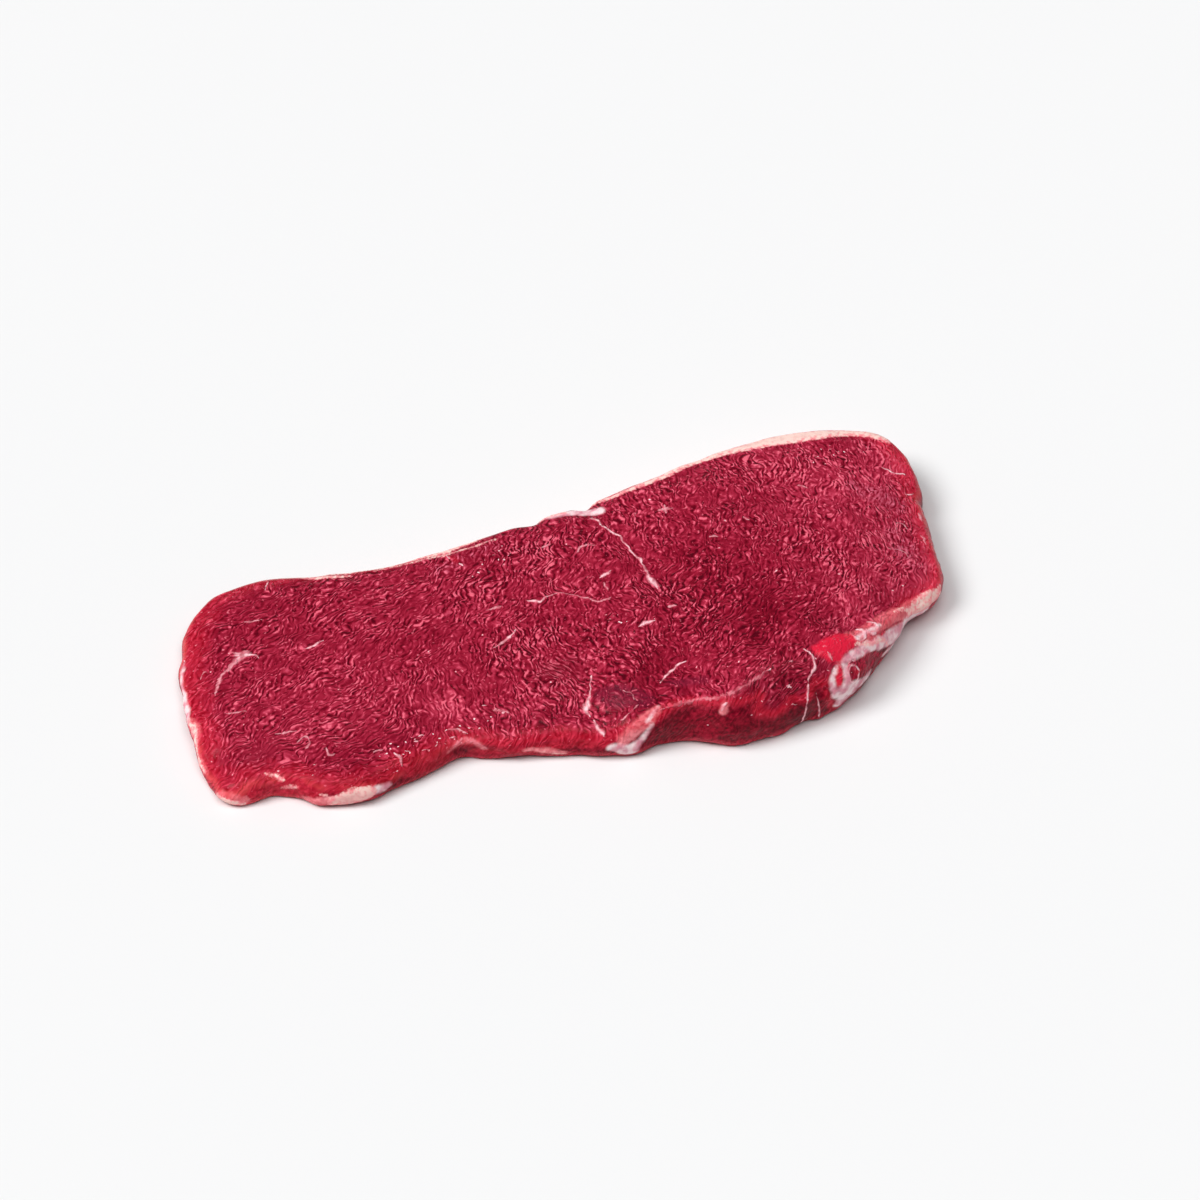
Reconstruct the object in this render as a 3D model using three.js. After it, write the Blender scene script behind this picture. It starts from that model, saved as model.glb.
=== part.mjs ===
// A raw sirloin steak lying flat: one slice across the loin, thick at the right and thinner
// towards the tail at the left, with a fat cap along the back of its right half.
// Millimetres, +Z up, +X along the steak, the cut face upwards. The origin is on the
// underside, at the middle of the steak's box.

import * as THREE from 'three';
import { ImprovedNoise } from 'three/addons/math/ImprovedNoise.js';

// ---- Driving dimensions -------------------------------------------------------------------

// The cut face is a grid of square cells. Both counts are even, because the underside has
// half as many.
const CELL = 3;
const CELLS_LONG = 84;
const CELLS_WIDE = 34;
const SIDE_BANDS_ABOVE_BELLY = 5;
const SIDE_BANDS_BELOW_BELLY = 3;

const CROWN = 1.9; // rise of the cut face from its rim to the middle
const CROWN_REACH = 9; // distance from the rim over which most of that rise happens
const BELLY_SHARE = 0.4; // height of the side's widest place, as a share of the rim's height
const BELLY_SHARE_PER_TUCK = 0.03; // added for each millimetre that the foot tucks under
const CHAMFER_INSET = 5; // a rim further in than this has a sloping side, not a round one
const CHAMFER_PER_INSET = 0.12;
const UNDERSIDE_MARGIN = 4; // from the foot to the coarser grid of the underside
const FACE_RIPPLE = { height: 0.7, spacing: 17 }; // unevenness of the cut face
const SIDE_RIPPLE = { height: 0.9, spacing: 11 }; // unevenness of the sides
const FINE_RIPPLE_RATIO = 2.3; // how many times closer the finer ripple is than the coarser one
const BELL_STEEPNESS = 2.5; // how sharply a groove, fold or mound ends at its width
const CURVE_STEPS_PER_CELL = 20; // for measuring along the outline
const NORMAL_SPAN = 0.25; // in stations, to each side of the place whose direction is wanted

// Stations round the steak, anticlockwise from above. Each gives x and y of the widest
// outline, the rim's height, how far inside the outline the rim lies, and how far the foot does.
const FRONT_STATIONS = [
  [-123.5, -24.5, 7.5, 4, 2],
  [-120, -27, 8, 4, 2],
  [-114, -27.5, 9, 4, 2],
  [-105.5, -29.5, 9.5, 4, 2],
  [-97, -35.5, 9.5, 4, 2],
  [-87, -39, 9.5, 4, 2],
  [-75.5, -38, 9.5, 4, 2],
  [-62, -35, 10, 4, 2],
  [-50, -34, 9.5, 4, 2],
  [-34, -37.5, 10, 4, 2],
  [-18, -42, 11, 4, 2],
  [-5, -47, 12, 4, 2],
  [9, -48, 16, 3, 2],
  [21, -50.5, 18.5, 3, 2],
  [32, -56.5, 20, 5, 2],
  [47, -57, 22, 9.5, 2],
  [66, -55.5, 22, 10, 3],
  [80, -48.5, 20, 8, 4],
  [93, -38, 17.5, 5, 6],
  [104, -28.5, 14, 3, 11],
];
const RIGHT_STATIONS = [
  [115.5, -22.5, 11.5, 3, 10],
  [120.5, -11, 12.5, 4, 4],
  [123.5, 8, 13, 4, 3],
  [129, 30, 14, 4, 3],
];
const BACK_STATIONS = [
  [125, 46, 15.5, 4, 3],
  [112, 54, 16.5, 4, 3],
  [90, 58, 17, 4, 3],
  [60, 56.5, 16.5, 4, 3],
  [36, 53.5, 15, 4, 3],
  [13, 52, 13.5, 4, 3],
  [-12, 50, 12.5, 4, 3],
  [-48, 49.5, 11.5, 4, 3],
  [-68, 52.5, 11, 4, 3],
  [-84, 57.5, 10.5, 4, 3],
];
const LEFT_STATIONS = [
  [-103, 57, 9, 4, 2],
  [-115.5, 44.5, 8, 4, 2],
  [-123, 24, 7.5, 4, 2],
  [-126, 2, 7.5, 4, 2],
  [-126.5, -14, 6.5, 4, 2],
];

// Nicks and lobes of the outline: x and y of the place, how wide it is, and how far it
// stands in (negative) or out.
const OUTLINE_NICKS = [
  [21, 52, 4, -3.4], // where the fat cap begins, at the end of the tendon
  [3, 51, 4, -1.2],
  [-127, -20, 3, -1.2],
  [-109, -28, 4, -1.2],
  [-73, -38, 2.5, -1],
  [-55, -35, 3, -1.2],
  [4, -49, 5, 0.8],
  [54, -57, 3, -1.2], // foot of the crease in the front side
  [117, -26, 2.5, -1.5], // above the tip of the loose flap
  [125, 16, 3, -0.8],
];

// Grooves of the cut face: the line they follow in x and y, their width and their depth.
// A negative depth is a ridge.
const FACE_GROOVES = [
  { line: [[23, 47], [26, 35], [29, 19], [29.5, 5]], width: 3, depth: 0.7 }, // main tendon
  { line: [[23, 47], [26, 35], [29, 19], [29.5, 5]], width: 10, depth: 0.6 },
  { line: [[30, 4], [36, -5], [26, -19], [15, -33], [6, -43]], width: 9, depth: 1.3 },
  { line: [[14, -38], [26, -31.5], [42, -33], [58, -35]], width: 4, depth: 0.8 },
  { line: [[-3, -20], [-7, -33], [-8, -45]], width: 4, depth: 0.7 },
  { line: [[-0.6, 34], [0.6, 15], [8, 11], [15, 7]], width: 4, depth: 0.6 },
  { line: [[-118, 13], [-112, 20], [-105, 25], [-97, 25]], width: 4, depth: 0.5 },
  { line: [[76, -34], [88, -31], [98, -27.5], [112, -23]], width: 4, depth: 1.1 }, // behind the flap
  { line: [[9, -46], [20, -47.5], [31, -50], [44, -45], [56, -42]], width: 3, depth: -0.8 }, // crest
];

// Swellings of the cut face, one for each muscle: the middle, the two radii and the height.
const FACE_MOUNDS = [
  { middle: [-88, 6], radii: [48, 42], height: 0.8 },
  { middle: [-28, 4], radii: [50, 38], height: 0.7 },
  { middle: [78, 14], radii: [60, 45], height: 0.9 },
  { middle: [36, -41], radii: [28, 10], height: 0.9 }, // oval muscle behind the crest
  { middle: [3, -33], radii: [13, 13], height: 0.7 },
  { middle: [71, -39], radii: [11, 8], height: 1.3 }, // wet lump beside the flap
];

// Ridges (positive) and folds (negative) of the front side: from x and z to x and z, their
// width and how far they stand out.
const FRONT_SIDE_FOLDS = [
  { from: [14, 16], to: [1, 1], width: 6, out: 1.6 }, // tongue of membrane
  { from: [-48.5, 0], to: [-48.5, 5.5], width: 7, out: -2.6 }, // pocket under a small arch
  { from: [16, 15], to: [50, 17.5], width: 4, out: -1.6 }, // hollow under the crest
  { from: [64, 19], to: [58, 0], width: 3.5, out: -2.2 }, // crease beside the side tendon
  { from: [69, 13], to: [65, 1], width: 3, out: -1.1 },
  { from: [84, 9], to: [89, 8], width: 6, out: -1.7 }, // hollow in the membrane
  { from: [90, 13.5], to: [115, 10.5], width: 2.5, out: -1.5 }, // under the flap's edge
  { from: [-124, 1], to: [-118, 1], width: 5, out: 1.2 }, // lobe of fat at the corner
  { from: [-96, 1.5], to: [-80, 1.5], width: 4, out: 1 }, // strip of fat along the foot
];

const MEAT = new THREE.MeshStandardMaterial({ color: 0x9e2438, roughness: 0.35, metalness: 0 });

const noise = new ImprovedNoise();

// ---- Small functions of distance ------------------------------------------------------------

// 1 at the middle of a feature, falling smoothly to nothing at about its width.
function bell(distance, width) {
  return Math.exp(-BELL_STEEPNESS * (distance / width) ** 2);
}

function distanceToSegment(point, from, to) {
  const along = to.clone().sub(from);
  const share = THREE.MathUtils.clamp(point.clone().sub(from).dot(along) / along.lengthSq(), 0, 1);
  return point.distanceTo(from.clone().addScaledVector(along, share));
}

function distanceToLine(point, line) {
  const corners = line.map(([x, y]) => new THREE.Vector2(x, y));
  const toEach = corners.slice(1).map((corner, i) => distanceToSegment(point, corners[i], corner));
  return Math.min(...toEach);
}

// Unevenness at two scales, between about -1 and 1. The noise is the same on every run.
function unevenness(x, y, z, spacing) {
  const coarse = noise.noise(x / spacing, y / spacing, z / spacing);
  const near = spacing / FINE_RIPPLE_RATIO;
  const fine = noise.noise(x / near, y / near, z / near);
  return 1.3 * coarse + 0.8 * fine;
}

// ---- The outline ------------------------------------------------------------------------------

const stations = [...FRONT_STATIONS, ...RIGHT_STATIONS, ...BACK_STATIONS, ...LEFT_STATIONS];
const outlineCurve = new THREE.CatmullRomCurve3(
  stations.map(([x, y, rim]) => new THREE.Vector3(x, y, rim)),
  true,
);
const sectionCurve = new THREE.CatmullRomCurve3(
  stations.map(([, , , rimInset, footInset]) => new THREE.Vector3(rimInset, footInset, 0)),
  true,
);

// Places on the curve from one station to another, equally far apart, without the last.
function spacedPlaces(firstStation, lastStation, count) {
  const start = firstStation / stations.length;
  const span = (lastStation - firstStation) / stations.length;
  const steps = CURVE_STEPS_PER_CELL * count;
  const at = (step) => start + (span * step) / steps;
  const reached = [0];
  for (let step = 1; step <= steps; step++) {
    const stride = outlineCurve.getPoint(at(step)).distanceTo(outlineCurve.getPoint(at(step - 1)));
    reached.push(reached[step - 1] + stride);
  }
  const places = [];
  let step = 0;
  for (let i = 0; i < count; i++) {
    while (reached[step] < (reached[steps] * i) / count) step++;
    places.push(at(step));
  }
  return places;
}

function outwardAt(t) {
  const spread = NORMAL_SPAN / stations.length;
  const ahead = outlineCurve.getPoint((t + spread) % 1);
  const behind = outlineCurve.getPoint((t + 1 - spread) % 1);
  return new THREE.Vector2(ahead.y - behind.y, behind.x - ahead.x).normalize();
}

const cornerStations = [0];
for (const edge of [FRONT_STATIONS, RIGHT_STATIONS, BACK_STATIONS, LEFT_STATIONS]) {
  cornerStations.push(cornerStations.at(-1) + edge.length);
}
const edgeCells = [CELLS_LONG, CELLS_WIDE, CELLS_LONG, CELLS_WIDE];

// Every place round the steak: its outline point, outward direction and section.
const perimeter = edgeCells
  .flatMap((cells, edge) => spacedPlaces(cornerStations[edge], cornerStations[edge + 1], cells))
  .map((t) => {
    const { x, y, z: rimHeight } = outlineCurve.getPoint(t);
    const { x: rimInset, y: footInset } = sectionCurve.getPoint(t);
    const outward = outwardAt(t);
    const place = new THREE.Vector2(x, y);
    for (const [nickX, nickY, width, out] of OUTLINE_NICKS) {
      place.addScaledVector(outward, out * bell(Math.hypot(x - nickX, y - nickY), width));
    }
    return { place, outward, rimHeight, rimInset, footInset };
  });

// ---- The cut face -------------------------------------------------------------------------------

// A Coons patch over a closed loop of points, with `long` cells by `wide` cells.
function fillLoop(loop, long, wide) {
  const front = (i) => loop[i];
  const right = (j) => loop[long + j];
  const back = (i) => loop[2 * long + wide - i];
  const left = (j) => loop[(2 * long + 2 * wide - j) % loop.length];
  const grid = [];
  for (let j = 0; j <= wide; j++) {
    for (let i = 0; i <= long; i++) {
      const u = i / long;
      const v = j / wide;
      grid.push(
        new THREE.Vector3()
          .addScaledVector(front(i), 1 - v)
          .addScaledVector(back(i), v)
          .addScaledVector(left(j), 1 - u)
          .addScaledVector(right(j), u)
          .addScaledVector(front(0), -(1 - u) * (1 - v))
          .addScaledVector(front(long), -u * (1 - v))
          .addScaledVector(back(long), -u * v)
          .addScaledVector(back(0), -(1 - u) * v),
      );
    }
  }
  return grid;
}

function faceRelief(x, y) {
  const point = new THREE.Vector2(x, y);
  let relief = FACE_RIPPLE.height * unevenness(x, y, 0, FACE_RIPPLE.spacing);
  for (const { line, width, depth } of FACE_GROOVES) {
    relief -= depth * bell(distanceToLine(point, line), width);
  }
  for (const { middle, radii, height } of FACE_MOUNDS) {
    relief += height * bell(Math.hypot((x - middle[0]) / radii[0], (y - middle[1]) / radii[1]), 1);
  }
  return relief;
}

const rimLoop = perimeter.map(({ place, outward, rimHeight, rimInset }) => {
  const rim = place.clone().addScaledVector(outward, -rimInset);
  return new THREE.Vector3(rim.x, rim.y, rimHeight);
});
const face = fillLoop(rimLoop, CELLS_LONG, CELLS_WIDE);
face.forEach((point, index) => {
  const column = index % (CELLS_LONG + 1);
  const row = Math.floor(index / (CELLS_LONG + 1));
  const cellsToEnd = Math.min(column, CELLS_LONG - column);
  const cellsToSide = Math.min(row, CELLS_WIDE - row);
  const rise = (cells) => 1 - Math.exp((-cells * CELL) / CROWN_REACH);
  point.z += CROWN * rise(cellsToEnd) * rise(cellsToSide) + faceRelief(point.x, point.y);
});

// ---- The sides ------------------------------------------------------------------------------------

function sideRelief(x, y, z) {
  let out = SIDE_RIPPLE.height * unevenness(x, y, 2 * z, SIDE_RIPPLE.spacing);
  if (y < 0) {
    const point = new THREE.Vector2(x, z);
    for (const { from, to, width, out: stands } of FRONT_SIDE_FOLDS) {
      const distance = distanceToSegment(point, new THREE.Vector2(...from), new THREE.Vector2(...to));
      out += stands * bell(distance, width);
    }
  }
  return out;
}

// The border of the face in the perimeter's order.
const border = perimeter.map((_, index) => {
  const [c1, c2, c3] = [CELLS_LONG, CELLS_LONG + CELLS_WIDE, 2 * CELLS_LONG + CELLS_WIDE];
  const row = CELLS_LONG + 1;
  if (index < c1) return index;
  if (index < c2) return (index - c1) * row + CELLS_LONG;
  if (index < c3) return CELLS_WIDE * row + (c3 - index);
  return (perimeter.length - index) * row;
});

// One ring of the side. Above the belly, turn runs from 0 at the rim to 1 at the belly, and
// below it from 0 at the belly to 1 at the foot.
function sideRing(above, turn) {
  const angle = (turn * Math.PI) / 2;
  return perimeter.map(({ place, outward, rimInset, footInset }, index) => {
    const rimZ = face[border[index]].z;
    const belly = rimZ * (BELLY_SHARE + BELLY_SHARE_PER_TUCK * footInset);
    const flatness = 1 + CHAMFER_PER_INSET * Math.max(0, rimInset - CHAMFER_INSET);
    const inset = above
      ? rimInset * (1 - Math.sin(angle) ** flatness)
      : footInset * (1 - Math.cos(angle));
    const z = above
      ? belly + (rimZ - belly) * Math.max(Math.cos(angle), 0) ** flatness
      : Math.max(belly * (1 - Math.sin(angle)), 0);
    const out = sideRelief(place.x, place.y, z) * (above ? turn : 1) - inset;
    const point = place.clone().addScaledVector(outward, out);
    return new THREE.Vector3(point.x, point.y, z);
  });
}

const sideRings = [];
for (let band = 1; band <= SIDE_BANDS_ABOVE_BELLY; band++) {
  sideRings.push(sideRing(true, band / SIDE_BANDS_ABOVE_BELLY));
}
for (let band = 1; band <= SIDE_BANDS_BELOW_BELLY; band++) {
  sideRings.push(sideRing(false, band / SIDE_BANDS_BELOW_BELLY));
}

// ---- The underside ----------------------------------------------------------------------------------

const foot = sideRings.at(-1);
const undersideLoop = foot
  .map((point, index) => {
    const { outward } = perimeter[index];
    const move = new THREE.Vector3(-outward.x, -outward.y, 0).multiplyScalar(UNDERSIDE_MARGIN);
    return point.clone().add(move);
  })
  .filter((_, index) => index % 2 === 0);
const underside = fillLoop(undersideLoop, CELLS_LONG / 2, CELLS_WIDE / 2);

// ---- The closed mesh ----------------------------------------------------------------------------------

const points = [];
const triangles = [];

function addPoints(list) {
  const first = points.length;
  points.push(...list);
  return first;
}

// The diagonals run through the four corner points, where the grid's two edges lie in line.
function addGrid(first, long, wide, facesUp) {
  for (let j = 0; j < wide; j++) {
    for (let i = 0; i < long; i++) {
      const a = first + j * (long + 1) + i;
      const [b, c, d] = [a + 1, a + long + 2, a + long + 1];
      const risingDiagonal = i < long / 2 === j < wide / 2;
      const pair = risingDiagonal ? [[a, b, c], [a, c, d]] : [[a, b, d], [b, c, d]];
      for (const [p, q, r] of pair) {
        triangles.push(facesUp ? [p, q, r] : [p, r, q]);
      }
    }
  }
}

function addBand(upper, lower) {
  for (let i = 0; i < upper.length; i++) {
    const next = (i + 1) % upper.length;
    triangles.push([upper[i], lower[i], lower[next]]);
    triangles.push([upper[i], lower[next], upper[next]]);
  }
}

const faceStart = addPoints(face);
addGrid(faceStart, CELLS_LONG, CELLS_WIDE, true);

let upperRing = border.map((index) => faceStart + index);
for (const ring of sideRings) {
  const start = addPoints(ring);
  const lowerRing = ring.map((_, index) => start + index);
  addBand(upperRing, lowerRing);
  upperRing = lowerRing;
}

// The last ring is joined to the underside's border, which has a point for every second one.
const undersideStart = addPoints(underside);
addGrid(undersideStart, CELLS_LONG / 2, CELLS_WIDE / 2, false);
const undersideBorder = undersideLoop.map((point) => undersideStart + underside.findIndex(
  (other) => other.distanceTo(point) < 1e-6,
));
for (let i = 0; i < undersideBorder.length; i++) {
  const [outer, middle] = [upperRing[2 * i], upperRing[2 * i + 1]];
  const outerNext = upperRing[(2 * i + 2) % upperRing.length];
  const inner = undersideBorder[i];
  const innerNext = undersideBorder[(i + 1) % undersideBorder.length];
  triangles.push([outer, inner, middle]);
  triangles.push([middle, innerNext, outerNext]);
  triangles.push([middle, inner, innerNext]);
}

const geometry = new THREE.BufferGeometry();
geometry.setAttribute(
  'position',
  new THREE.Float32BufferAttribute(points.flatMap((point) => point.toArray()), 3),
);
geometry.setIndex(triangles.flat());
geometry.computeBoundingBox();
const middle = geometry.boundingBox.getCenter(new THREE.Vector3());
geometry.translate(-middle.x, -middle.y, -geometry.boundingBox.min.z);
geometry.computeVertexNormals();

const steak = new THREE.Mesh(geometry, MEAT);
steak.name = 'steak';

const model = new THREE.Group();
model.add(steak);

export default model;
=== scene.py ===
"""The looks of a raw sirloin steak, cut from the loin with its fat cap on.

The steak is one piece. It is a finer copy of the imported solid, with the relief of its muscle
fibres, tendons, fat and silverskin in the mesh, and one wet meat material over all of it.
Lengths in this file are in millimetres, unless a property gives its own unit.
"""

import math

import bmesh
import bpy
import numpy as np
from bpy.props import FloatProperty, FloatVectorProperty, IntProperty, PointerProperty
from mathutils import Matrix, Vector, noise
from mathutils.bvhtree import BVHTree
from mathutils.kdtree import KDTree


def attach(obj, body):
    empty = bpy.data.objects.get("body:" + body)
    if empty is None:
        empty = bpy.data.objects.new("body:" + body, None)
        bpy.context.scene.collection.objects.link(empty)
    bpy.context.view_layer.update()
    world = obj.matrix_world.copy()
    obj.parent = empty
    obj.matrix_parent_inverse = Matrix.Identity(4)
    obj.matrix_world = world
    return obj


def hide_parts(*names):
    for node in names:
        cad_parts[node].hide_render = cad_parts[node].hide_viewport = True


bl_info = {
    "name": "Raw Sirloin Steak",
    "version": (1, 0, 0),
    "blender": (4, 5, 0),
    "location": "View3D > Sidebar > Steak",
    "description": "Builds a raw sirloin steak and a plain studio stage for it",
    "category": "Add Mesh",
}

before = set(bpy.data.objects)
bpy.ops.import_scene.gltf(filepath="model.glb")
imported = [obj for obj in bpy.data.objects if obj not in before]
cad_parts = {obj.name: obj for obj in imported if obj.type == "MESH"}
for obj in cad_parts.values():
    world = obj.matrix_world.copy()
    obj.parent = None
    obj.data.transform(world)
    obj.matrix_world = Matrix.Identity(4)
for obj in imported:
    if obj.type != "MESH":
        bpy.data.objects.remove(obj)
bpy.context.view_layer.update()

MM = 0.001
NODE = "steak"


# ---- What marks the meat ----

# A mark is a line of tissue on the steak. It lies on the top face, or on the near, far or left
# side. Its points give two coordinates and the line's full width there: x and y on the top, x
# and z on the near and far sides, y and z on the left side. The third coordinate comes from the
# steak itself.

TOP, NEAR, FAR, LEFT = "top", "near", "far", "left"

FAT = [
    # the cap along the far side, from the notch to the thick end
    (TOP, [(24, 49.2, 0.8), (30, 49, 1.8), (36, 49.4, 2.2), (50, 51.4, 3.2), (64, 53.6, 3.6),
        (75, 53.2, 5), (88, 53, 7), (100, 51, 6.4), (112, 48.6, 4.6), (119, 45.6, 4.6), (122, 43, 4)]),
    (FAR, [(26, 7, 14), (60, 8, 16), (95, 8, 17), (118, 7, 16)]),
    # what the knife left of it on the rest of the far side
    (FAR, [(-88, 8, 2), (-72, 9, 3.5), (-60, 10, 2), (-46, 10.5, 1.4), (-32, 11, 3), (-20, 11, 3.5),
        (-10, 11, 1.5)]),
    (FAR, [(-84, 3, 1.6), (-60, 4.4, 5), (-30, 4.6, 8), (0, 5, 10), (24, 6, 12)]),
    (TOP, [(-74, 50.8, 1), (-69, 49.4, 2.2), (-64, 47.4, 1.8), (-60, 46.4, 0.8)]),
    (TOP, [(-52, 46.2, 0.5), (-40, 45.4, 0.8), (-28, 44.6, 1), (-18, 44.2, 0.8), (-11, 44.2, 0.5)]),
    # the flap at the near right corner: its upper border, its face, and the bit below the swirls
    (TOP, [(115.4, -21.6, 2.4), (111.3, -23.4, 3), (107, -25.2, 3), (103.5, -27, 2.4),
        (99.5, -29.4, 1.6), (95.3, -31, 1.2)]),
    (NEAR, [(115, 8, 2.4), (111, 8.6, 3.6), (106, 9.4, 3.6), (101, 10.4, 2.4)]),
    (TOP, [(76.6, -44, 0.8), (80.4, -43.4, 1.4), (85, -42, 1.6), (89.6, -39.6, 1.2)]),
    # the rim to the left of the cap
    (TOP, [(2, 49.6, 1.2), (7, 49.4, 2.4), (13, 48.6, 2.2)]),
    # the left end, and the lobe at the near left corner
    (LEFT, [(7.5, 6.2, 1.6), (3, 6.6, 2.6), (0, 6, 2.2), (-5, 4.6, 1), (-9.4, 4, 1.6), (-13, 4, 1.2)]),
    (TOP, [(-110.8, -25, 0.9), (-108.6, -26.4, 1.3), (-106.8, -28, 1.4)]),
    (NEAR, [(-107, 5.3, 1.3), (-104.8, 6, 1.4), (-103, 6.5, 0.8)]),
    (NEAR, [(-126.4, 3, 1.6), (-124.6, 2.6, 3), (-122, 2.2, 3), (-119.4, 2, 1.4)]),
    # the strip under the near left edge, and the bit beside it
    (NEAR, [(-93.4, 3.4, 4), (-91, 3.9, 5.4), (-88, 4.5, 6), (-84.6, 5, 5.4), (-82, 5.2, 3.6)]),
    (NEAR, [(-97, 5.8, 0.8), (-95.6, 5.6, 1.2)]),
    # the lip beyond the arch
    (NEAR, [(-29, 4.6, 0.5), (-25.2, 3.7, 0.9), (-21.9, 2.7, 0.8), (-19, 2.2, 0.5)]),
]

MEMBRANE = [
    # the upper end of the tongue
    (NEAR, [(10, 16.8, 0.5), (8, 15.2, 1.1), (5.5, 13, 0.8)]),
    # the rim between the notch and the cap
    (TOP, [(5, 49.4, 1.8), (10, 48.8, 3.4), (15, 47.4, 3.6), (20, 45.8, 4.4), (23.5, 44.2, 3.6)]),
    # the lower half of the tongue under the front edge
    (NEAR, [(-6, 5.6, 2.6), (-3.5, 5, 4), (-0.5, 4, 4.4), (2, 5.5, 3), (4.9, 8.5, 2), (7, 12, 1.2)]),
    # silverskin round the near right corner: beside the slot, over the window, and below it
    (NEAR, [(68.8, 18.4, 1), (67, 16.8, 1.6), (65.6, 14.8, 2.2), (65.8, 12.6, 3)]),
    (NEAR, [(71, 17.2, 2), (71, 15, 2.6), (71, 13, 3), (70, 11, 4)]),
    (NEAR, [(71, 18, 2), (73.4, 18, 3), (77, 17.4, 3.4), (81.6, 16.2, 3.6), (86, 14.6, 4.4)]),
    (NEAR, [(86, 14, 4.4), (91, 11.8, 5.6), (95, 10, 5.6), (99.6, 8, 4.6), (104, 6.5, 4), (109, 6, 3)]),
    (NEAR, [(88.6, 6, 2.4), (92, 6.4, 3), (96, 5.6, 3.4), (100, 4.6, 3)]),
    (NEAR, [(66.4, 10.6, 4), (70, 9.6, 5), (74, 9, 5), (77, 7.6, 4), (81, 6.4, 3)]),
    (NEAR, [(67.4, 5, 3), (69.6, 6.4, 5), (73.6, 6, 4)]),
    # the left end, and the bit to the right of the strip
    (LEFT, [(32, 6.4, 1.2), (27.7, 5.9, 2), (23.4, 4.9, 2.4), (17.5, 5.4, 2.8), (11, 6, 2.6),
        (7, 6, 1.4)]),
    (NEAR, [(-80.6, 5.3, 2.6), (-78, 4.7, 3), (-75.8, 5.2, 2.4)]),
    # milky tissue that the swirls lie in
    (TOP, [(77.6, -42, 0.8), (80.2, -40.8, 1.3), (84.6, -38.8, 1.3), (87.6, -37.4, 0.8)]),
]

PINK = [
    # the upper half of the tongue, and the arch to its left
    (NEAR, [(9.4, 16, 2.4), (7, 14.4, 4), (4, 12.4, 4.4), (1, 10.4, 4.6), (-2, 8, 4)]),
    (NEAR, [(-54.4, 6.4, 1), (-51.4, 8.2, 1.5), (-48.3, 8.8, 1.7), (-45.6, 8, 1.6), (-43, 6, 1.2)]),
    (NEAR, [(-31, 5, 1), (-25.2, 4.2, 1.8), (-19, 3, 1.2)]),
    # the flap, and the bed that the swirls lie in
    (NEAR, [(115, 8, 2.6), (109.6, 9.8, 4), (105, 10.6, 4.4), (99, 12.4, 4.6), (92.5, 15.8, 4.6),
        (87, 17.6, 4)]),
    (TOP, [(76, -41.4, 4), (80, -41, 5), (85, -38.8, 5.4), (90, -35.4, 5), (96, -31.6, 4)]),
    # the left end, the lobe at the near left corner, the flesh beside the strip, and a spot of
    # fat on the near side
    (LEFT, [(8.5, 6.2, 2), (3.4, 6.6, 4.4), (0, 6, 4), (-5, 4.6, 2), (-9.4, 4, 2.8), (-13.6, 4, 1.8)]),
    (NEAR, [(-125.4, 3.6, 4), (-122.8, 3, 5.6), (-119.8, 2.6, 4.2)]),
    (NEAR, [(-101, 2.4, 2), (-98, 2.8, 3.4), (-94, 3.4, 4)]),
    (NEAR, [(29.8, 18.4, 1.6), (28.8, 16, 2.4)]),
]

RED = [
    # lean meat full of blood, along the near side and at the right and far rims; on the near side it
    # is also painted light, which lifts the sides' painted shade
    (NEAR, [(-46, 4.4, 3.6), (-36, 4.6, 4.4), (-26, 5.2, 4.4), (-19, 6.5, 4), (-12.4, 7.4, 5),
        (-7, 8.4, 4)]),
    (NEAR, [(-119, 5, 5), (-113, 4.4, 7), (-106, 4.4, 7), (-99, 5, 6)]),
    (NEAR, [(62.8, 12.5, 2), (64.4, 8, 3), (66, 3.4, 3)]),
    (NEAR, [(-72, 6, 4), (-62, 5.6, 5), (-55, 5, 4)]),
    (TOP, [(118.5, 25.2, 0.8), (121.4, 25, 1.8), (124.4, 24.8, 2)]),
    (TOP, [(121.5, 38, 3), (123.5, 33, 2.4)]),
    (TOP, [(-28.4, 43.4, 1.4), (-26.4, 40.4, 1.2)]),
]

WET = [
    # blood held in the pocket at the near right, and in the slot under it
    (TOP, [(63.6, -45, 3.6), (66, -45.2, 6), (70, -44.6, 7.4), (74, -43, 6), (77, -42.4, 3)]),
    (TOP, [(66.6, -47.4, 3.6), (70, -47.8, 3)]),
    (NEAR, [(69, 17.8, 2), (68.4, 15.8, 3), (67.9, 13.4, 2.2)]),
]

DARK = [
    # the small purple muscle at the near edge, and the thin one beside it
    (TOP, [(-3.6, -32.6, 5), (0, -35.6, 8), (4, -38, 7), (8, -41.6, 5)]),
    (TOP, [(17, -38.6, 2.4), (20, -41, 3), (27, -43, 2.6)]),
]

WINDOW = [
    # dark meat behind the gap in the corner's silverskin, in the small hole beside it, and in
    # the crack below the rim: the meat's own red, darkened with painted shade
    (NEAR, [(75.2, 15.4, 2.2), (78.6, 14.2, 3.4), (82, 12.6, 3.6), (85, 10, 2.6)]),
    (NEAR, [(77.6, 12, 2.6), (79.4, 11, 3.6), (82.4, 9.4, 3.4)]),
    (NEAR, [(72.8, 14.6, 1.6), (73.6, 13, 1.8)]),
    (NEAR, [(83.2, 17.7, 0.5), (87.8, 16.3, 0.8), (93, 14, 0.8), (98.4, 11.2, 0.6)]),
]

SHADE = [
    # painted shade: darker colour painted in the hollows of the near side and of the top
    (NEAR, [(16, 8, 5), (26, 9, 6), (34, 8, 5)]),
    (NEAR, [(40, 14, 6), (48, 10, 9), (54, 6, 6)]),
    (NEAR, [(63, 19, 2), (62.4, 15, 4), (62, 9, 5), (61.6, 3, 5)]),
    (TOP, [(-16, -18, 6), (-9, -17, 6)]),
    (TOP, [(-114, -18, 4), (-111, -20, 4)]),
]
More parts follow.
